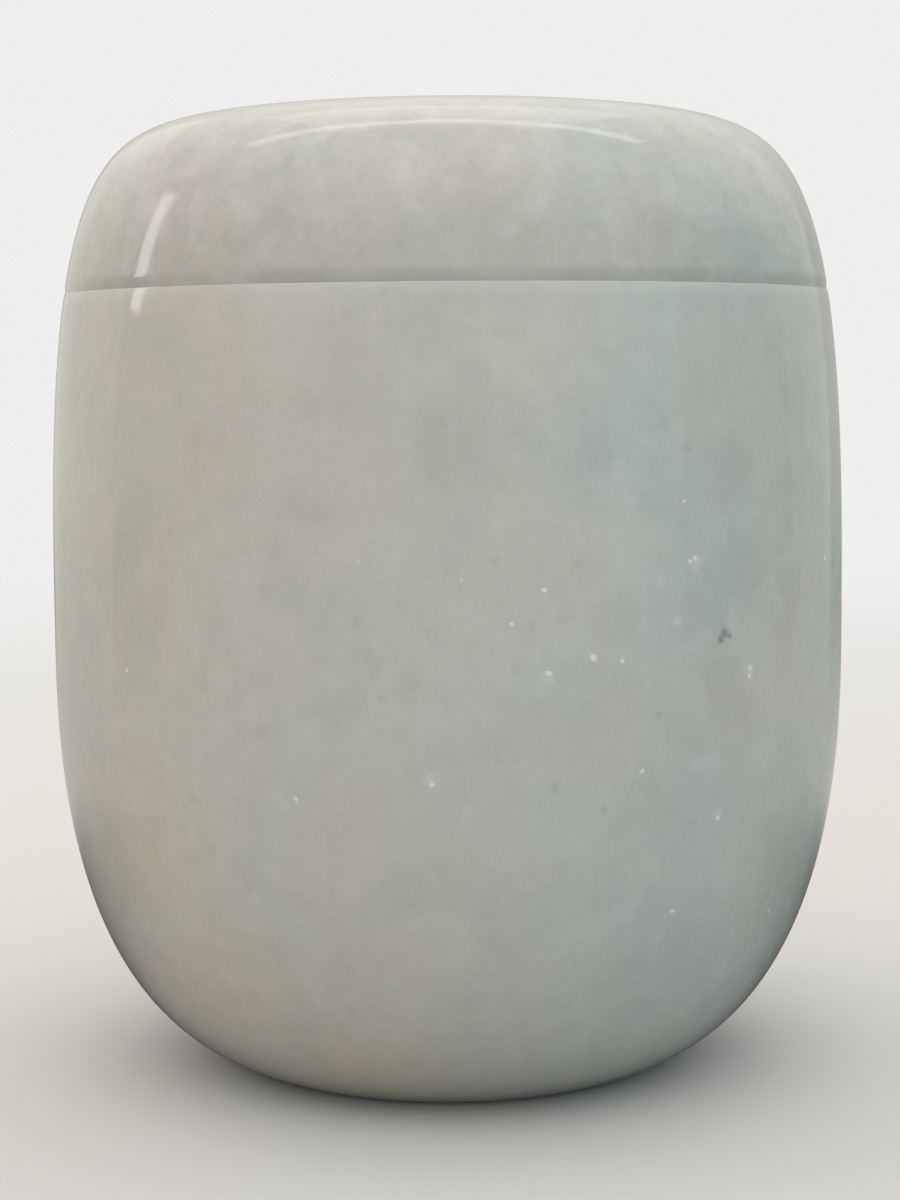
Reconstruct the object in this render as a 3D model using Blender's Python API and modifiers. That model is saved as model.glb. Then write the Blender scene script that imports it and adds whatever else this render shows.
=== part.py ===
"""Turned marble cremation urn: a hollow, round-shouldered body and a lid that lifts off.

Units are metres, +Z is up, and the origin is the middle of the flat foot.
Both pieces are turned about +Z, and the seam between them crosses one continuous outline.
"""

import math

import bpy

# Outside form
BELLY_RADIUS = 0.100
BELLY_HEIGHT = 0.110
BODY_HEIGHT = 0.195
LID_HEIGHT = 0.045
CROWN_RISE = 0.003
FOOT_RADIUS = 0.052

# Fullness of the outer curves: 2 both ways is an ellipse, and larger is squarer
SHOULDER_FULLNESS_ACROSS = 9.0
SHOULDER_FULLNESS_UP = 2.95
HEEL_FULLNESS_ACROSS = 3.6
HEEL_FULLNESS_UP = 2.4

# Softened edges either side of the seam
SEAM_EASE_HEIGHT = 0.0033
SEAM_EASE_DEPTH = 0.0006

# Thickness of the stone
WALL = 0.018
FLOOR_THICKNESS = 0.020
CROWN_THICKNESS = 0.016

# The ring under the lid that drops into the mouth and keeps the lid in place
REGISTER_DEPTH = 0.008
REGISTER_WALL = 0.012
REGISTER_PLAY = 0.001
SEAT_GAP = 0.0003

# Small edges inside
EDGE_CHAMFER = 0.001
HOLLOW_FILLET = 0.012

# How finely the curves are drawn
TURN_STEPS = 72
SHOULDER_RINGS = 13
SIDE_RINGS = 6
HEEL_RINGS = 11
EASE_RINGS = 3
CAVITY_SIDE_RINGS = 4
CAVITY_HEEL_RINGS = 10
FILLET_RINGS = 4
FINE_STEPS = 600
SEARCH_TOLERANCE = 1e-9
AXIS_MERGE = 0.0001
SHARP_ANGLE = math.radians(30)

STONE_COLOUR = (0.47, 0.475, 0.43, 1.0)
STONE_ROUGHNESS = 0.12

QUARTER = math.pi / 2


def bulge(share, fullness_across, fullness_up):
    """Rise of a superellipse, as a share of its full height, at this share of its half width."""
    return max(0.0, 1 - share**fullness_across) ** (1 / fullness_up)


def shoulder_height(radius):
    """Height of the outline above the belly, at this radius."""
    share = radius / BELLY_RADIUS
    rise = BODY_HEIGHT + LID_HEIGHT - CROWN_RISE - BELLY_HEIGHT
    curve = bulge(share, SHOULDER_FULLNESS_ACROSS, SHOULDER_FULLNESS_UP)
    return BELLY_HEIGHT + rise * curve + CROWN_RISE * (1 - share**2)


def heel_height(radius):
    """Height of the outline below the belly, at this radius. It is 0 at the foot's edge."""
    curve = bulge(radius / BELLY_RADIUS, HEEL_FULLNESS_ACROSS, HEEL_FULLNESS_UP)
    foot = bulge(FOOT_RADIUS / BELLY_RADIUS, HEEL_FULLNESS_ACROSS, HEEL_FULLNESS_UP)
    return BELLY_HEIGHT * (1 - curve / foot)


def cavity_heel_height(radius):
    """Height of the cavity below the belly, at this radius."""
    curve = bulge(radius / (BELLY_RADIUS - WALL), HEEL_FULLNESS_ACROSS, HEEL_FULLNESS_UP)
    return BELLY_HEIGHT - (BELLY_HEIGHT - FLOOR_THICKNESS) * curve


def cavity_side_height(radius):
    """Height of the cavity above the belly, at this radius."""
    return shoulder_height(radius + WALL)


def radius_at(height):
    """Radius of the shoulder's outline at this height."""
    inner, outer = 0.0, BELLY_RADIUS
    while outer - inner > SEARCH_TOLERANCE:
        middle = (inner + outer) / 2
        if shoulder_height(middle) > height:
            inner = middle
        else:
            outer = middle
    return inner


def outline(height_at, start, end, count):
    """count + 1 points from one radius to another, closer together where the curve turns."""
    reach = max(start, end)
    first, last = math.asin(start / reach), math.asin(end / reach)
    radii = [reach * math.sin(first + (last - first) * i / FINE_STEPS) for i in range(FINE_STEPS + 1)]
    fine = [(radius, height_at(radius)) for radius in radii]
    steps = [(b[0] - a[0], b[1] - a[1]) for a, b in zip(fine, fine[1:])]
    lengths = [math.hypot(*step) for step in steps]
    headings = [math.atan2(step[1], step[0]) for step in steps]
    turns = [abs(b - a) for a, b in zip(headings, headings[1:])] + [0.0]
    points, travelled = [fine[0]], 0.0
    for length, turn, point in zip(lengths, turns, fine[1:]):
        travelled += (length / sum(lengths) + turn / sum(turns)) / 2
        if travelled >= len(points) / count and len(points) < count:
            points.append(point)
    return points + [fine[-1]]


def eased(points):
    """The points, drawn in softly near the seam."""
    nearness = [max(0.0, 1 - abs(height - BODY_HEIGHT) / SEAM_EASE_HEIGHT) for _, height in points]
    return [(r - SEAM_EASE_DEPTH * near**2, height) for (r, height), near in zip(points, nearness)]


def mouth_radius():
    return radius_at(BODY_HEIGHT) - WALL


def body_section():
    """Half section of the body: up the inside from the middle of its floor, then down the outside."""
    rim = radius_at(BODY_HEIGHT)
    ease_end = radius_at(BODY_HEIGHT - SEAM_EASE_HEIGHT)
    inside_top = radius_at(BODY_HEIGHT - EDGE_CHAMFER) - WALL
    inside_belly = BELLY_RADIUS - WALL

    points = outline(cavity_heel_height, 0.0, inside_belly, CAVITY_HEEL_RINGS)
    points += outline(cavity_side_height, inside_belly, inside_top, CAVITY_SIDE_RINGS)[1:]
    points.append((mouth_radius() + EDGE_CHAMFER, BODY_HEIGHT))
    points += eased(outline(shoulder_height, rim, ease_end, EASE_RINGS))
    points += outline(shoulder_height, ease_end, BELLY_RADIUS, SIDE_RINGS)[1:]
    points += outline(heel_height, BELLY_RADIUS, FOOT_RADIUS, HEEL_RINGS)[1:]
    return points + [(0.0, 0.0)]


def lid_section():
    """Half section of the lid, with its seat at height 0: down the outside, then up the inside."""
    seat = BODY_HEIGHT + SEAT_GAP
    ease_end = radius_at(BODY_HEIGHT + SEAM_EASE_HEIGHT)
    register_radius = mouth_radius() - REGISTER_PLAY
    hollow_radius = register_radius - REGISTER_WALL
    ceiling = LID_HEIGHT - SEAT_GAP - CROWN_THICKNESS
    fillet = min(HOLLOW_FILLET, ceiling)

    outside = outline(shoulder_height, 0.0, ease_end, SHOULDER_RINGS)
    outside += eased(outline(shoulder_height, ease_end, radius_at(seat), EASE_RINGS))[1:]
    points = [(radius, height - seat) for radius, height in outside]
    points += [
        (register_radius, 0.0),
        (register_radius, EDGE_CHAMFER - REGISTER_DEPTH),
        (register_radius - EDGE_CHAMFER, -REGISTER_DEPTH),
        (hollow_radius + EDGE_CHAMFER, -REGISTER_DEPTH),
        (hollow_radius, EDGE_CHAMFER - REGISTER_DEPTH),
    ]
    for i in range(FILLET_RINGS + 1):
        angle = QUARTER * i / FILLET_RINGS
        inward = fillet * (1 - math.cos(angle))
        points.append((hollow_radius - inward, ceiling - fillet * (1 - math.sin(angle))))
    return points + [(0.0, ceiling)]


def turned(name, section, material, collection):
    """A closed solid made by turning a half section about +Z."""
    profile = bpy.data.meshes.new(name + "_section")
    corners = [(radius, 0.0, height) for radius, height in section]
    profile.from_pydata(corners, [(i, i + 1) for i in range(len(corners) - 1)], [])
    piece = bpy.data.objects.new(name, profile)
    collection.objects.link(piece)
    screw = piece.modifiers.new("turning", "SCREW")
    screw.steps = TURN_STEPS
    screw.render_steps = TURN_STEPS
    screw.use_merge_vertices = True
    screw.merge_threshold = AXIS_MERGE

    # The turned mesh replaces the section, so that its sharp edges can be marked
    depsgraph = bpy.context.evaluated_depsgraph_get()
    solid = bpy.data.meshes.new_from_object(piece.evaluated_get(depsgraph))
    solid.name = name
    piece.modifiers.clear()
    piece.data = solid
    bpy.data.meshes.remove(profile)
    solid.shade_smooth()
    solid.set_sharp_from_angle(angle=SHARP_ANGLE)
    solid.materials.append(material)
    return piece


def polished_marble(name):
    material = bpy.data.materials.new(name)
    material.use_nodes = True
    shader = material.node_tree.nodes["Principled BSDF"]
    shader.inputs["Base Color"].default_value = STONE_COLOUR
    shader.inputs["Roughness"].default_value = STONE_ROUGHNESS
    shader.inputs["Metallic"].default_value = 0.0
    material.diffuse_color = STONE_COLOUR
    return material


def main():
    for old in list(bpy.data.objects):
        bpy.data.objects.remove(old)
    urn = bpy.data.collections.new("cremation_urn")
    bpy.context.scene.collection.children.link(urn)
    body = turned("urn_body", body_section(), polished_marble("body_marble"), urn)
    lid = turned("urn_lid", lid_section(), polished_marble("lid_marble"), urn)
    lid.parent = body
    lid.location.z = BODY_HEIGHT + SEAT_GAP


main()
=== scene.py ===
"""Looks of the turned marble cremation urn: polished stone, a hairline seam and soft studio light.

Lengths are metres and angles degrees, unless a name says otherwise. Both pieces are turned again
here, finely, from the outline that the solids have, and each replaces its own solid.
"""

import math

import bpy
import numpy as np
from mathutils import Matrix, Vector, noise


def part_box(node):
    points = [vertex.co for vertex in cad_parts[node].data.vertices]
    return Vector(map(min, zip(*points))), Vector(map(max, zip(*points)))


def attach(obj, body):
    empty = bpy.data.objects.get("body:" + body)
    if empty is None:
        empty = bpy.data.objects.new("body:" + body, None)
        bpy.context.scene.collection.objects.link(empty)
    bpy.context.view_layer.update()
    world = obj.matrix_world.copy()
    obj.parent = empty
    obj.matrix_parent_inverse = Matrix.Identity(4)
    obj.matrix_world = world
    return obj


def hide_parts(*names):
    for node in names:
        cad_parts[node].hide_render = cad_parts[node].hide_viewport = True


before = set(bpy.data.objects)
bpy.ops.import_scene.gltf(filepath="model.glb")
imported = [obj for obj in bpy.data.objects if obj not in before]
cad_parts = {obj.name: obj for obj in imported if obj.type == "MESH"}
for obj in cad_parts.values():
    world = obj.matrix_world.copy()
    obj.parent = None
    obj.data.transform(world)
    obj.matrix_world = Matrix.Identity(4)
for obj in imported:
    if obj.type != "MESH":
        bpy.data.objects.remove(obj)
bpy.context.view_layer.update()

MM = 0.001
QUARTER = math.pi / 2

# The solids' own sizes
BODY_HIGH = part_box("urn_body")[1]
LID_LOW, LID_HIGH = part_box("urn_lid")
BELLY_RADIUS = BODY_HIGH[0]
BODY_HEIGHT = BODY_HIGH[2]
TOTAL_HEIGHT = LID_HIGH[2]
REGISTER_FOOT = LID_LOW[2]

# The rest of the outline, as the solids have it
BELLY_HEIGHT = 110 * MM
CROWN_RISE = 3 * MM
FOOT_RADIUS = 52 * MM
SHOULDER_FULLNESS_ACROSS = 9.0
SHOULDER_FULLNESS_UP = 2.95
HEEL_FULLNESS_ACROSS = 3.6
HEEL_FULLNESS_UP = 2.4
WALL = 18 * MM
FLOOR_THICKNESS = 20 * MM
CROWN_THICKNESS = 16 * MM
REGISTER_WALL = 12 * MM
REGISTER_PLAY = 1 * MM
HOLLOW_FILLET = 12 * MM

# Edges at the seam: both drawn in softly, the lid further, so that the body's rim stands out a hair
EASE_HEIGHT = 3.3 * MM
BODY_EASE_DEPTH = 0.1 * MM
LID_EASE_DEPTH = 0.4 * MM
RIM_RADIUS = 0.12 * MM
SEAM_GAP = 0.02 * MM
EDGE_RADIUS = 1.0 * MM

# Fineness of the meshes
TURN_STEPS = 320
OUTER_STEP = 1.3 * MM
INNER_STEP = 4 * MM
EDGE_STEP = 0.3 * MM
ROUND_STEPS = 4
SAMPLES = 4000
AXIS_MERGE = 0.01 * MM
SHARP_ANGLE = math.radians(40)

# Waves that the hand polish leaves, always inwards
POLISH_DEPTH = 0.08 * MM
POLISH_LENGTH = 42 * MM
POLISH_OCTAVES = 3
POLISH_FALL_OFF = 1.0
POLISH_STEP = 2.0
POLISH_FADE = 10 * MM

# The photograph's view
IMAGE_HEIGHT_PIXELS = 1200
FOCAL_PIXELS = 2540
SENSOR_MM = 36
EYE = (0.5 * MM, -650 * MM, 175.6 * MM)
PITCH_DOWN = 5.16
ROLL = 0.40

# Flecks, spots and clouds that the photograph shows: azimuth from the front, height and size in mm
PALE_FLECKS = [
    (-48, 107, 1.8), (-42, 108, 1.4), (-11, 134, 1.2), (2, 130, 1.3), (13, 109, 1.9), (19, 112, 2.2),
    (23, 111, 1.6), (34, 133, 1.8), (44, 107, 2.0), (-2, 85, 2.0), (-20, 81, 1.7), (39, 73, 1.8),
    (26, 86, 1.7), (33.2, 132.4, 1.6), (43.8, 105.2, 1.7), (12.4, 127.5, 1.6), (8.2, 120.2, 1.4),
    (32.3, 146, 1.6), (65, 130, 2.0),
]
PALE_BLOOMS = [(44, 106, 5.0), (34, 132, 6.0), (13, 108, 5.0), (-2, 86, 6.0), (31, 119, 4.0), (39, 74, 5.0)]
DARK_SPOTS = [(39.0, 115.6, 4.0), (38.4, 114.3, 3.6), (39.9, 114.9, 2.2)]
FAINT_SPOTS = [
    (13.8, 83.5, 5.0), (20.6, 78, 4.0), (28.2, 98.4, 3.0), (33, 158, 4.5), (6.2, 134, 3.2), (16.8, 133, 3.2),
]
SOFT_CLOUDS = [
    (-2, 186, 30), (-9, 168, 26), (-16, 146, 22), (4, 212, 24), (21, 207, 16), (33, 210, 14), (-24, 208, 18),
    (40, 152, 26), (42, 130, 28), (38, 104, 26), (38.8, 114.8, 9), (-17, 168, 20), (0, 158, 50),
    (-12, 172, 40),
]

# Colours of the stone
WARM_GREY = (0.528, 0.490, 0.424, 1.0)
GREEN_GREY = (0.448, 0.490, 0.470, 1.0)
OLIVE = (0.370, 0.378, 0.332, 1.0)
ROSE_GREY = (0.455, 0.405, 0.385, 1.0)
TEAL_GREY = (0.340, 0.410, 0.430, 1.0)
TAN = (0.600, 0.490, 0.330, 1.0)
SLATE = (0.355, 0.390, 0.385, 1.0)
MILK = (0.600, 0.605, 0.575, 1.0)
CRYSTAL_WHITE = (0.84, 0.84, 0.82, 1.0)
SMUDGE = (0.230, 0.240, 0.225, 1.0)
# Painted shade for the lid's edge above the seam, not a colour of the stone
SEAM_PAINTED_SHADE = (0.260, 0.255, 0.220, 1.0)

# Broad tints that the photograph shows: colour, strength, and places as above
TINTED_PLACES = [
    (ROSE_GREY, 0.50, [(-45, 215, 70)]),
    (TEAL_GREY, 0.35, [(22, 160, 60), (30, 120, 60), (34, 80, 70), (33, 45, 60)]),
    (TAN, 0.35, [(-38, 35, 70), (-18, 15, 60), (-45, 60, 50)]),
]

# Places of a Mix node's sockets for colours
MIX_SHARE = 0
MIX_FIRST = 6
MIX_SECOND = 7
MIX_RESULT = 2

# Soft noise: its middle, how far it mostly strays, and how far it must stray to count in full
NOISE_MIDDLE = 0.5
NOISE_SPREAD = 0.15
NOISE_REACH = 0.22

# What shows in the stone, and how far it changes the colour, then the painted shade and painted light at the
# seam.
# Clouds have the length of their lumps, and how many times these are broken up into finer ones.
BODY_MOTTLING = 0.8
LID_MOTTLING = 1.6
LID_OFFSET = (0.31, 0.12, 0.05)
# Share of the warm-to-green blend that runs across from left to right: partly the stone's tone, partly a
# painted cast of the warm light on the left and the cool light on the right
SIDE_TONE_AND_PAINTED_CAST = 0.6
BROAD_CLOUDS = (60 * MM, 1.0)
TINT_CLOUDS = (22 * MM, 1.0)
TINT_STRENGTH = 0.24
LUMP_CLOUDS = (7 * MM, 2.0)
LUMP_STRENGTH = 0.20
FINE_CLOUDS = (2.4 * MM, 1.0)
FINE_STRENGTH = 0.15
CRYSTAL = 1.4 * MM
GRAIN_STRENGTH = 0.10
FLECK_SPACING = 24 * MM
FLECK_RADIUS = 0.7 * MM
FLECK_STRENGTH = 0.65
FLECK_SOFTNESS = 0.7
BLOOM_STRENGTH = 0.18
BLOOM_SOFTNESS = 1.0
SMUDGE_SPACING = 13 * MM
SMUDGE_RADIUS = 2.0 * MM
SMUDGE_STRENGTH = 0.10
CLOUD_STRENGTH = 0.14
CLOUD_SOFTNESS = 1.0
FAINT_STRENGTH = 0.24
SPOT_STRENGTH = 0.9
SPOT_SOFTNESS = 0.9
RAGGED_CLOUDS = (0.9 * MM, 0.0)
RAGGED_WAY = (0.8 * MM, 0.5 * MM, -0.7 * MM)
# Painted shade on the lid above the seam: uneven in patches, a band along the edge, and a broader, fainter
# darkening further up
SEAM_PATCH_CLOUDS = (25 * MM, 1.0)
SEAM_PATCHES = (0.3, 1.2)
SEAM_PAINTED_SHADE_HEIGHT = 4.2 * MM
SEAM_PAINTED_SHADE_FADE = 2.4 * MM
SEAM_PAINTED_SHADE_STRENGTH = 0.20
LID_PAINTED_SHADE_HEIGHT = 24 * MM
LID_PAINTED_SHADE_STRENGTH = 0.23
# Painted light: the body's rim paler just below the seam
SEAM_PAINTED_LIGHT_HEIGHT = 3.5 * MM
SEAM_PAINTED_LIGHT_STRENGTH = 0.30

# Each kind of spot, with how soft and how strong it is
DARKER = [
    (SOFT_CLOUDS, CLOUD_SOFTNESS, CLOUD_STRENGTH),
    (FAINT_SPOTS, CLOUD_SOFTNESS, FAINT_STRENGTH),
    (DARK_SPOTS, SPOT_SOFTNESS, SPOT_STRENGTH),
]
PALER = [
    (PALE_FLECKS, FLECK_SOFTNESS, FLECK_STRENGTH),
    (PALE_BLOOMS, BLOOM_SOFTNESS, BLOOM_STRENGTH),
]

# Polished outside, and honed inside with the rings that a turning tool leaves
STONE_IOR = 1.5
POLISHED_ROUGHNESS = (0.07, 0.12)
POLISHED_EDGE = 1.3 * MM
HONED_ROUGHNESS = (0.42, 0.55)
TOOL_PITCH = 2.5 * MM
TOOL_STRENGTH = 0.4
TOOTH_CLOUDS = (2 * MM, 3.0)
TOOTH_DEPTH = 0.03 * MM

# Studio
FLOOR_RADIUS = 1.6
FLOOR_SIDES = 96
FLOOR_FADE = 0.3
FLOOR_ROUGHNESS = 0.9
FLOOR_SHINE = 0.1
FLOOR_COLOUR = (0.62, 0.62, 0.615, 1.0)
FLOOR_MIRRORED = (0.45, 0.45, 0.44, 1.0)
FLOOR_BEHIND = (0.05, 0.05, 0.05, 1.0)
BEHIND_RAMP = (-0.8 * BELLY_RADIUS, 0.4 * BELLY_RADIUS)
NEAR_RAMP = (2 * BELLY_RADIUS, 4 * BELLY_RADIUS)
BACKDROP = (0.86, 0.86, 0.855, 1.0)
LIGHT_FRONT = (1.00, 1.06, 1.06, 1.0)
LIGHT_BACK = (0.50, 0.49, 0.46, 1.0)
LIGHT_LEFT = (0.62, 0.53, 0.42, 1.0)
LIGHT_RIGHT = (0.19, 0.34, 0.38, 1.0)
LIGHT_ABOVE = (1.23, 1.18, 1.13, 1.0)
GROUND_FRONT = (0.50, 0.53, 0.55, 1.0)
GROUND_BACK = (0.22, 0.23, 0.21, 1.0)

# Where each part of the light goes over into the next, as a share of the direction's length
LEFT_TO_RIGHT = (-0.8, 0.8)
SIDES_TO_FRONT = (-0.2, -1.0)
SIDES_TO_BACK = (0.5, 1.0)
HORIZON_TO_ABOVE = (0.05, 0.8)
GROUND_FRONT_TO_BACK = (-0.6, 0.4)
HORIZON_TO_GROUND = (0.0, -0.15)

# Soft lights: name, width, height, azimuth from the front, elevation and brightness
SOFTBOX_DISTANCE = 1.3
SOFTBOXES = [
    ("front_softbox", 1.0, 0.7, -5, 60, (0.35, 0.32, 0.32)),
    ("top_softbox", 0.9, 0.9, 180, 72, (0.62, 0.55, 0.50)),
    ("left_strip", 1.3, 1.3, -132, 12, (0.28, 0.28, 0.24)),
    ("right_strip", 0.50, 1.2, 55, 10, (0.20, 0.38, 0.43)),
    ("back_strip", 0.7, 1.2, 126, 10, (0.28, 0.24, 0.18)),
    ("slim_strip", 0.11, 0.44, -99, 22.5, (3.2, 3.2, 3.3)),
    ("overhead_strip", 1.8, 0.12, 180, 84, (2.0, 1.95, 1.9)),
]


def bulge(share, fullness_across, fullness_up):
    """Rise of a superellipse, as a share of its full height, at these shares of its half width."""
    return np.maximum(0.0, 1 - share**fullness_across) ** (1 / fullness_up)


def shoulder_height(radius):
    """Height of the outline above the belly."""
    share = radius / BELLY_RADIUS
    rise = TOTAL_HEIGHT - CROWN_RISE - BELLY_HEIGHT
    curve = bulge(share, SHOULDER_FULLNESS_ACROSS, SHOULDER_FULLNESS_UP)
    return BELLY_HEIGHT + rise * curve + CROWN_RISE * (1 - share**2)


def heel_height(radius):
    """Height of the outline below the belly. It is 0 at the foot's edge."""
    curve = bulge(radius / BELLY_RADIUS, HEEL_FULLNESS_ACROSS, HEEL_FULLNESS_UP)
    foot = bulge(FOOT_RADIUS / BELLY_RADIUS, HEEL_FULLNESS_ACROSS, HEEL_FULLNESS_UP)
    return BELLY_HEIGHT * (1 - curve / foot)


def cavity_heel_height(radius):
    """Height of the cavity below the belly."""
    curve = bulge(radius / (BELLY_RADIUS - WALL), HEEL_FULLNESS_ACROSS, HEEL_FULLNESS_UP)
    return BELLY_HEIGHT - (BELLY_HEIGHT - FLOOR_THICKNESS) * curve


def cavity_side_height(radius):
    """Height of the cavity above the belly."""
    return shoulder_height(radius + WALL)


def radius_at(height):
    """Radius of the shoulder's outline at this height."""
    radii = BELLY_RADIUS * np.sin(np.linspace(QUARTER, 0.0, SAMPLES))
    return float(np.interp(height, shoulder_height(radii), radii))


def outline(height_at, start, end, step):
    """Evenly spaced points, about a step apart, from one radius to another."""
    reach = max(start, end)
    angles = np.linspace(math.asin(start / reach), math.asin(end / reach), SAMPLES)
    radii = reach * np.sin(angles)
    heights = height_at(radii)
    travelled = np.append(0.0, np.cumsum(np.hypot(np.diff(radii), np.diff(heights))))
    wanted = np.linspace(0.0, travelled[-1], 2 + int(travelled[-1] / step))
    return np.stack([np.interp(wanted, travelled, radii), np.interp(wanted, travelled, heights)], axis=1)


def eased(points, depth):
    """The points, drawn in softly near the seam by up to this depth."""
    nearness = np.maximum(0.0, 1 - np.abs(points[:, 1] - BODY_HEIGHT) / EASE_HEIGHT)
    return points - np.stack([depth * nearness**2, np.zeros(len(points))], axis=1)


def rounded(corner, before, after, radius):
    """Points that round a corner of the section, between its neighbours on either side."""
    corner = np.array(corner)
    into = (np.array(before) - corner) / np.linalg.norm(np.array(before) - corner)
    out = (np.array(after) - corner) / np.linalg.norm(np.array(after) - corner)
    start, end = corner + radius * into, corner + radius * out
    t = np.linspace(0.0, 1.0, ROUND_STEPS + 1)[:, None]
    return (1 - t) ** 2 * start + 2 * t * (1 - t) * corner + t**2 * end


def level(height, start, end, step):
    """Points along a level face, between two radii but without its ends."""
    count = 2 + int(abs(end - start) / step)
    radii = np.linspace(start, end, count)[1:-1]
    return np.stack([radii, np.full(len(radii), height)], axis=1)


def mouth_radius():
    return radius_at(BODY_HEIGHT) - WALL


def body_section():
    """Half section of the body: up the inside from the middle of its floor, then down the outside."""
    inside_belly = BELLY_RADIUS - WALL
    inside_top = radius_at(BODY_HEIGHT - EDGE_RADIUS) - WALL
    rim = np.array([radius_at(BODY_HEIGHT) - BODY_EASE_DEPTH, BODY_HEIGHT])
    ease_end = radius_at(BODY_HEIGHT - EASE_HEIGHT)
    lip = (mouth_radius(), BODY_HEIGHT)
    foot = (FOOT_RADIUS, 0.0)

    cavity = np.concatenate([
        outline(cavity_heel_height, 0.0, inside_belly, INNER_STEP),
        outline(cavity_side_height, inside_belly, inside_top, INNER_STEP)[1:-1],
    ])
    edge_start = radius_at(BODY_HEIGHT - RIM_RADIUS)
    edge = eased(outline(shoulder_height, edge_start, ease_end, EDGE_STEP), BODY_EASE_DEPTH)
    side = outline(shoulder_height, ease_end, BELLY_RADIUS, OUTER_STEP)[1:]
    heel = outline(heel_height, BELLY_RADIUS, FOOT_RADIUS + EDGE_RADIUS, OUTER_STEP)[1:-1]
    return np.concatenate([
        cavity,
        rounded(lip, cavity[-1], rim, EDGE_RADIUS),
        level(BODY_HEIGHT, lip[0] + EDGE_RADIUS, rim[0] - RIM_RADIUS, INNER_STEP),
        rounded(rim, lip, edge[1], RIM_RADIUS),
        edge[1:],
        side,
        heel,
        rounded(foot, heel[-1], (0.0, 0.0), EDGE_RADIUS),
        level(0.0, FOOT_RADIUS - EDGE_RADIUS, 0.0, INNER_STEP),
        [(0.0, 0.0)],
    ])


def lid_section():
    """Half section of the lid: down the outside from the middle of its crown, then up the inside."""
    seat = BODY_HEIGHT + SEAM_GAP
    ease_end = radius_at(BODY_HEIGHT + EASE_HEIGHT)
    register = mouth_radius() - REGISTER_PLAY
    hollow = register - REGISTER_WALL
    ceiling = TOTAL_HEIGHT - CROWN_THICKNESS
    foot_corner = (register, REGISTER_FOOT)
    hollow_corner = (hollow, REGISTER_FOOT)

    crown = outline(shoulder_height, 0.0, ease_end, OUTER_STEP)
    edge = eased(outline(shoulder_height, ease_end, radius_at(seat), EDGE_STEP), LID_EASE_DEPTH)[1:]
    angles = np.linspace(0.0, QUARTER, 2 * ROUND_STEPS + 1)
    fillet = np.stack([
        hollow - HOLLOW_FILLET * (1 - np.cos(angles)),
        ceiling - HOLLOW_FILLET * (1 - np.sin(angles)),
    ], axis=1)
    return np.concatenate([
        crown,
        edge,
        level(seat, edge[-1][0], register, INNER_STEP),
        [(register, seat)],
        rounded(foot_corner, (register, seat), hollow_corner, EDGE_RADIUS),
        rounded(hollow_corner, foot_corner, fillet[0], EDGE_RADIUS),
        fillet,
        level(ceiling, fillet[-1][0], 0.0, INNER_STEP),
        [(0.0, ceiling)],
    ])


def turned(name, section):
    """A closed mesh made by turning a half section about +Z."""
    profile = bpy.data.meshes.new(name + "_section")
    corners = [(radius, 0.0, height) for radius, height in section]
    profile.from_pydata(corners, [(i, i + 1) for i in range(len(corners) - 1)], [])
    piece = bpy.data.objects.new(name, profile)
    bpy.context.scene.collection.objects.link(piece)
    screw = piece.modifiers.new("turning", "SCREW")
    screw.steps = TURN_STEPS
    screw.render_steps = TURN_STEPS
    screw.use_merge_vertices = True
    screw.merge_threshold = AXIS_MERGE
    depsgraph = bpy.context.evaluated_depsgraph_get()
    mesh = bpy.data.meshes.new_from_object(piece.evaluated_get(depsgraph))
    mesh.name = name
    piece.modifiers.clear()
    piece.data = mesh
    bpy.data.meshes.remove(profile)
    return piece


def outer_radius(height):
    """Radius of the whole outline, from the foot to the crown, at these heights."""
    sweep = np.sin(np.linspace(0.0, QUARTER, SAMPLES))
    heel = FOOT_RADIUS + (BELLY_RADIUS - FOOT_RADIUS) * sweep
    shoulder = BELLY_RADIUS * sweep[::-1]
    heights = np.append(heel_height(heel), shoulder_height(shoulder))
    return np.interp(height, heights, np.append(heel, shoulder))


def finish_faces(piece, polished, honed):
    """Polished stone outside, and honed stone inside, on the seat and under the foot."""
    mesh = piece.data
    mesh.materials.append(polished)
    mesh.materials.append(honed)
    centres = np.empty(3 * len(mesh.polygons))
    mesh.polygons.foreach_get("center", centres)
    x, y, height = centres.reshape(-1, 3).T
    inside = np.hypot(x, y) < outer_radius(height) - POLISHED_EDGE
    mesh.polygons.foreach_set("material_index", inside.astype(np.int32))
    mesh.shade_smooth()
    mesh.set_sharp_from_angle(angle=SHARP_ANGLE)


def hand_polish(piece):
    """Draws the stone inwards in slow, shallow waves, as polishing by hand leaves it."""
    middle = Vector((0.0, 0.0, BELLY_HEIGHT))
    for vertex in piece.data.vertices:
        inwards = (middle - vertex.co).normalized()
        clear = min(vertex.co.z, abs(vertex.co.z - BODY_HEIGHT)) / POLISH_FADE
        swell = noise.fractal(vertex.co / POLISH_LENGTH, POLISH_FALL_OFF, POLISH_STEP, POLISH_OCTAVES)
        wave = (1 + swell) / 2
        vertex.co += inwards * POLISH_DEPTH * max(0.0, min(1.0, wave)) * min(1.0, clear)


def surface_point(azimuth, height):
    """The point of the outside at this azimuth from the front, and this height in mm."""
    turn = math.radians(azimuth)
    radius = float(outer_radius(height * MM))
    return (radius * math.sin(turn), -radius * math.cos(turn), height * MM)


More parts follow.
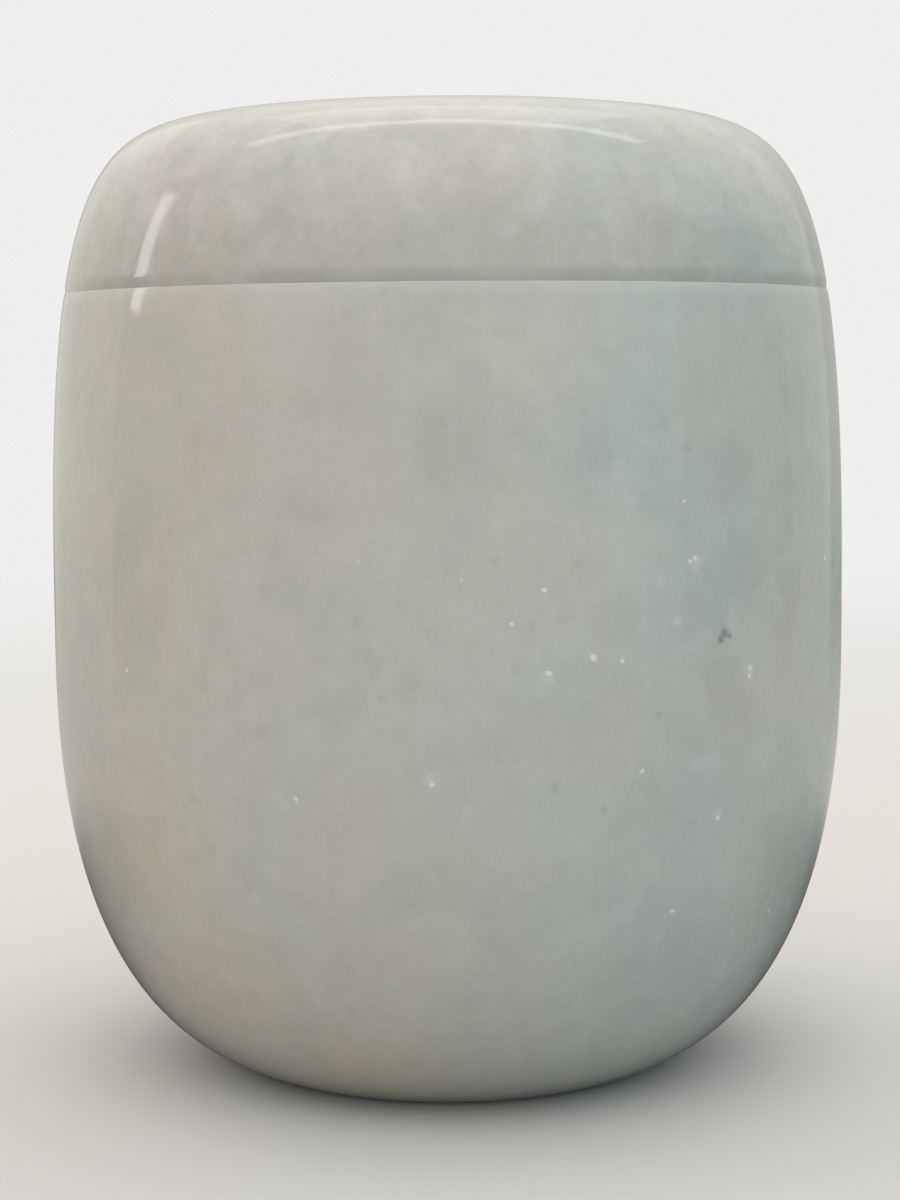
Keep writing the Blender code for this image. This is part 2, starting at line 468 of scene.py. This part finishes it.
class Nodes:
    """Adds nodes to a tree one by one. An input takes a value, or the socket that feeds it."""

    def __init__(self, tree):
        self.tree = tree

    def feed(self, socket, value):
        if isinstance(value, bpy.types.NodeSocket):
            self.tree.links.new(value, socket)
        else:
            socket.default_value = value

    def add(self, kind, inputs, **settings):
        node = self.tree.nodes.new(kind)
        for name, value in settings.items():
            setattr(node, name, value)
        for name, value in inputs.items():
            self.feed(node.inputs[name], value)
        return node

    def math(self, operation, first, second=0.0):
        return self.add("ShaderNodeMath", {0: first, 1: second}, operation=operation).outputs[0]

    def vector(self, operation, first, second=(0.0, 0.0, 0.0), third=(0.0, 0.0, 0.0)):
        inputs = {0: first, 1: second, 2: third}
        return self.add("ShaderNodeVectorMath", inputs, operation=operation).outputs["Vector"]

    def clouds(self, where, length, detail):
        """Noise from 0 to 1 whose lumps are about this long."""
        inputs = {"Vector": where, "Scale": 1 / length, "Detail": detail}
        return self.add("ShaderNodeTexNoise", inputs).outputs["Fac"]

    def between(self, value, start, end, low=0.0, high=1.0):
        """Runs smoothly from low to high as the value goes from start to end."""
        inputs = {"Value": value, "From Min": start, "From Max": end, "To Min": low, "To Max": high}
        return self.add("ShaderNodeMapRange", inputs, interpolation_type="SMOOTHSTEP").outputs[0]

    def thick(self, clouds, strength):
        """Up to this strength where the clouds are thick, and 0 where they are thin."""
        return self.between(clouds, NOISE_MIDDLE, NOISE_MIDDLE + NOISE_REACH, 0.0, strength)

    def thin(self, clouds, strength):
        """Up to this strength where the clouds are thin, and 0 where they are thick."""
        return self.between(clouds, NOISE_MIDDLE, NOISE_MIDDLE - NOISE_REACH, 0.0, strength)

    def varied(self, clouds, low, high):
        """Wanders between low and high with the clouds."""
        return self.between(clouds, NOISE_MIDDLE - NOISE_SPREAD, NOISE_MIDDLE + NOISE_SPREAD, low, high)

    def blend(self, share, first, second):
        """Colour that goes from the first to the second as the share goes from 0 to 1."""
        inputs = {MIX_SHARE: share, MIX_FIRST: first, MIX_SECOND: second}
        return self.add("ShaderNodeMix", inputs, data_type="RGBA").outputs[MIX_RESULT]

    def seeds(self, where, spacing, radius, strength):
        """Soft round spots of this radius, scattered through the stone about this far apart."""
        voronoi = self.add("ShaderNodeTexVoronoi", {"Vector": where, "Scale": 1 / spacing})
        distance = voronoi.outputs["Distance"]
        return self.between(distance, radius / spacing / 2, radius / spacing, strength, 0.0)

    def spots(self, where, places, softness, strength):
        """This strength in the spots at these azimuths, heights and sizes, and 0 outside them."""
        total = 0.0
        for azimuth, height, size in places:
            inputs = {0: where, 1: surface_point(azimuth, height)}
            distance = self.add("ShaderNodeVectorMath", inputs, operation="DISTANCE").outputs["Value"]
            radius = size * MM / 2
            spot = self.between(distance, radius * (1 - softness), radius, strength, 0.0)
            total = self.math("MAXIMUM", total, spot)
        return total


def stone_colour(nodes, place, where, tint, mottling):
    """Soft clouds of warmer and greener grey, warmer to the left and greener to the right as partly a
    painted cast of the side lights, mottled finely, with single crystals that show faintly.
    """
    across = nodes.add("ShaderNodeSeparateXYZ", {0: place}).outputs["X"]
    # Warmer to the left and greener to the right: partly the stone's tone, partly a painted cast of the warm
    # and cool side lights
    side_tone_and_cast = nodes.between(across, -BELLY_RADIUS, BELLY_RADIUS, 0.0, SIDE_TONE_AND_PAINTED_CAST)
    broad = nodes.varied(nodes.clouds(where, *BROAD_CLOUDS), 0.0, 1 - SIDE_TONE_AND_PAINTED_CAST)
    colour = nodes.blend(nodes.math("ADD", side_tone_and_cast, broad), WARM_GREY, GREEN_GREY)
    colour = nodes.blend(nodes.thick(tint, TINT_STRENGTH), colour, ROSE_GREY)
    colour = nodes.blend(nodes.thin(tint, TINT_STRENGTH), colour, SLATE)
    for cast, strength, places in TINTED_PLACES:
        colour = nodes.blend(nodes.spots(place, places, CLOUD_SOFTNESS, strength), colour, cast)
    lumps = nodes.clouds(where, *LUMP_CLOUDS)
    colour = nodes.blend(nodes.thick(lumps, mottling * LUMP_STRENGTH), colour, OLIVE)
    colour = nodes.blend(nodes.thin(lumps, mottling * LUMP_STRENGTH), colour, MILK)
    fine = nodes.clouds(where, *FINE_CLOUDS)
    colour = nodes.blend(nodes.thick(fine, mottling * FINE_STRENGTH), colour, SLATE)
    crystals = nodes.add("ShaderNodeTexVoronoi", {"Vector": where, "Scale": 1 / CRYSTAL}).outputs["Color"]
    shade = nodes.add("ShaderNodeSeparateColor", {0: crystals}).outputs[0]
    return nodes.blend(nodes.math("MULTIPLY", shade, GRAIN_STRENGTH), colour, MILK)


def seam_painted_shade_and_light(nodes, place, where, colour):
    """Painted shade along the lid's edge above the seam, uneven and fading further up the lid, and painted
    light, paler, along the body's rim below the seam.
    """
    height = nodes.add("ShaderNodeSeparateXYZ", {0: place}).outputs["Z"]
    above = nodes.math("SUBTRACT", height, BODY_HEIGHT)
    uneven = nodes.varied(nodes.clouds(where, *SEAM_PATCH_CLOUDS), *SEAM_PATCHES)
    on_lid = nodes.math("GREATER_THAN", above, 0.0)
    # Painted shade: a band along the lid's lower edge, full near the seam and fading out above it, uneven in
    # patches
    painted_shade_end = SEAM_PAINTED_SHADE_HEIGHT - SEAM_PAINTED_SHADE_FADE
    painted_shade = nodes.between(above, SEAM_PAINTED_SHADE_HEIGHT, painted_shade_end, 0.0, SEAM_PAINTED_SHADE_STRENGTH)
    # Broader, fainter painted shade over the lid's lower part, strongest near the seam
    broad = nodes.between(above, LID_PAINTED_SHADE_HEIGHT, SEAM_PAINTED_SHADE_HEIGHT, 0.0, LID_PAINTED_SHADE_STRENGTH)
    painted_shade = nodes.math("ADD", nodes.math("MULTIPLY", painted_shade, uneven), broad)
    painted_shade = nodes.math("MULTIPLY", painted_shade, on_lid)
    colour = nodes.blend(painted_shade, colour, SEAM_PAINTED_SHADE)
    # Painted light: the body's rim blended towards a paler colour just below the seam
    painted_light = nodes.between(above, -SEAM_PAINTED_LIGHT_HEIGHT, 0.0, 0.0, SEAM_PAINTED_LIGHT_STRENGTH)
    painted_light = nodes.math("MULTIPLY", painted_light, nodes.math("LESS_THAN", above, 0.0))
    return nodes.blend(painted_light, colour, MILK)


def spotted_colour(nodes, place, where, offset, colour):
    """Grey smudges, clouds and spots, with white flecks and blooms over them, all with ragged edges."""
    ragged = nodes.clouds(where, *RAGGED_CLOUDS)
    torn = nodes.vector("MULTIPLY_ADD", RAGGED_WAY, ragged, place)
    darker = nodes.seeds(torn, SMUDGE_SPACING, SMUDGE_RADIUS, SMUDGE_STRENGTH)
    for places, softness, strength in DARKER:
        darker = nodes.math("MAXIMUM", darker, nodes.spots(torn, places, softness, strength))
    colour = nodes.blend(darker, colour, SMUDGE)
    moved = nodes.vector("ADD", torn, offset)
    paler = nodes.seeds(moved, FLECK_SPACING, FLECK_RADIUS, FLECK_STRENGTH)
    for places, softness, strength in PALER:
        paler = nodes.math("MAXIMUM", paler, nodes.spots(torn, places, softness, strength))
    return nodes.blend(paler, colour, CRYSTAL_WHITE)


def tool_marks(nodes, place, where):
    """Bump of the rings that a turning tool leaves, and of the tooth of ground stone."""
    height = nodes.add("ShaderNodeSeparateXYZ", {0: place}).outputs["Z"]
    rings = nodes.math("SINE", nodes.math("MULTIPLY", height, math.tau / TOOL_PITCH))
    rings = nodes.math("MULTIPLY", rings, TOOL_STRENGTH)
    relief = nodes.math("ADD", nodes.clouds(where, *TOOTH_CLOUDS), rings)
    bump = nodes.add("ShaderNodeBump", {"Height": relief, "Distance": TOOTH_DEPTH, "Strength": 1.0})
    return bump.outputs["Normal"]


def marble(name, offset, polished, mottling):
    """Pale grey-green marble with a few white flecks and grey smudges, polished or honed."""
    material = bpy.data.materials.new(name)
    material.use_nodes = True
    nodes = Nodes(material.node_tree)
    shader = material.node_tree.nodes["Principled BSDF"]
    place = nodes.add("ShaderNodeTexCoord", {}).outputs["Object"]
    where = nodes.vector("ADD", place, offset)
    tint = nodes.clouds(where, *TINT_CLOUDS)
    colour = stone_colour(nodes, place, where, tint, mottling)

    if polished:
        # Painted shade on the lid above the seam and painted light on the body's rim below it
        colour = seam_painted_shade_and_light(nodes, place, where, colour)
        colour = spotted_colour(nodes, place, where, offset, colour)
        rough = nodes.varied(tint, *POLISHED_ROUGHNESS)
    else:
        rough = nodes.varied(tint, *HONED_ROUGHNESS)
        nodes.feed(shader.inputs["Normal"], tool_marks(nodes, place, where))

    nodes.feed(shader.inputs["Base Color"], colour)
    nodes.feed(shader.inputs["Roughness"], rough)
    shader.inputs["IOR"].default_value = STONE_IOR
    return material


def piece(name, section, offset, mottling):
    """One turned piece of the urn, standing for the solid of that name."""
    made = turned(name + "_marble", section)
    polished = marble(name + "_polished", offset, True, mottling)
    honed = marble(name + "_honed", offset, False, mottling)
    finish_faces(made, polished, honed)
    hand_polish(made)
    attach(made, "root")
    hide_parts(name)
    return made


def studio_floor():
    """A wide pale floor that fades out into the backdrop, and is mirrored darker behind the urn."""
    mesh = bpy.data.meshes.new("studio_floor")
    turns = [math.tau * i / FLOOR_SIDES for i in range(FLOOR_SIDES)]
    rim = [(FLOOR_RADIUS * math.cos(turn), FLOOR_RADIUS * math.sin(turn), 0.0) for turn in turns]
    mesh.from_pydata(rim, [], [range(FLOOR_SIDES)])
    floor = bpy.data.objects.new("studio_floor", mesh)
    bpy.context.scene.collection.objects.link(floor)
    plaster = bpy.data.materials.new("floor_plaster")
    plaster.use_nodes = True
    nodes = Nodes(plaster.node_tree)
    shader = plaster.node_tree.nodes["Principled BSDF"]
    place = nodes.add("ShaderNodeTexCoord", {}).outputs["Object"]
    reach = nodes.add("ShaderNodeVectorMath", {0: place}, operation="LENGTH").outputs["Value"]
    behind = nodes.add("ShaderNodeSeparateXYZ", {0: place}).outputs["Y"]
    behind = nodes.between(behind, *BEHIND_RAMP)
    near = nodes.between(reach, *NEAR_RAMP, 1.0, 0.0)
    mirrored = nodes.blend(nodes.math("MULTIPLY", behind, near), FLOOR_MIRRORED, FLOOR_BEHIND)
    seen = nodes.add("ShaderNodeLightPath", {}).outputs["Is Camera Ray"]
    nodes.feed(shader.inputs["Base Color"], nodes.blend(seen, mirrored, FLOOR_COLOUR))
    shader.inputs["Roughness"].default_value = FLOOR_ROUGHNESS
    shader.inputs["Specular IOR Level"].default_value = FLOOR_SHINE
    nodes.feed(shader.inputs["Alpha"], nodes.between(reach, FLOOR_FADE, FLOOR_RADIUS, 1.0, 0.0))
    mesh.materials.append(plaster)


def softbox(name, width, height, azimuth, elevation, brightness):
    """A rectangular soft light that faces the urn's middle. Azimuth is from the front, + to the right."""
    turn, rise = math.radians(azimuth), math.radians(elevation)
    towards = Vector((math.sin(turn) * math.cos(rise), -math.cos(turn) * math.cos(rise), math.sin(rise)))
    lamp = bpy.data.lights.new(name, "AREA")
    lamp.shape = "RECTANGLE"
    lamp.size = width
    lamp.size_y = height
    lamp.color = [part / max(brightness) for part in brightness]
    lamp.energy = max(brightness) * math.pi * width * height
    light = bpy.data.objects.new(name, lamp)
    light.location = Vector((0.0, 0.0, BELLY_HEIGHT)) + SOFTBOX_DISTANCE * towards
    light.rotation_euler = towards.to_track_quat("Z", "Y").to_euler()
    light.visible_camera = False
    bpy.context.scene.collection.objects.link(light)


def studio_light():
    """Soft light from all round, seen in the polish. The camera itself sees a plain backdrop."""
    world = bpy.data.worlds.new("studio_light")
    world.use_nodes = True
    bpy.context.scene.world = world
    nodes = Nodes(world.node_tree)
    direction = nodes.add("ShaderNodeTexCoord", {}).outputs["Generated"]
    across, back, up = nodes.add("ShaderNodeSeparateXYZ", {0: direction}).outputs
    sides = nodes.blend(nodes.between(across, *LEFT_TO_RIGHT), LIGHT_LEFT, LIGHT_RIGHT)
    horizon = nodes.blend(nodes.between(back, *SIDES_TO_FRONT), sides, LIGHT_FRONT)
    horizon = nodes.blend(nodes.between(back, *SIDES_TO_BACK), horizon, LIGHT_BACK)
    light = nodes.blend(nodes.between(up, *HORIZON_TO_ABOVE), horizon, LIGHT_ABOVE)
    ground = nodes.blend(nodes.between(back, *GROUND_FRONT_TO_BACK), GROUND_FRONT, GROUND_BACK)
    light = nodes.blend(nodes.between(up, *HORIZON_TO_GROUND), light, ground)
    seen = nodes.add("ShaderNodeLightPath", {}).outputs["Is Camera Ray"]
    light = nodes.blend(seen, light, BACKDROP)
    nodes.feed(world.node_tree.nodes["Background"].inputs["Color"], light)


def photograph_camera():
    data = bpy.data.cameras.new("photograph_view")
    data.sensor_width = SENSOR_MM
    data.lens = FOCAL_PIXELS / IMAGE_HEIGHT_PIXELS * SENSOR_MM
    camera = bpy.data.objects.new("photograph_view", data)
    tilt = Matrix.Rotation(QUARTER - math.radians(PITCH_DOWN), 4, "X")
    camera.matrix_world = Matrix.Translation(EYE) @ tilt @ Matrix.Rotation(-math.radians(ROLL), 4, "Z")
    bpy.context.scene.collection.objects.link(camera)
    bpy.context.scene.camera = camera


body = piece("urn_body", body_section(), (0.0, 0.0, 0.0), BODY_MOTTLING)
lid = piece("urn_lid", lid_section(), LID_OFFSET, LID_MOTTLING)

photograph_camera()
studio_floor()
studio_light()
for light in SOFTBOXES:
    softbox(*light)
bpy.context.scene.view_settings.view_transform = "Standard"
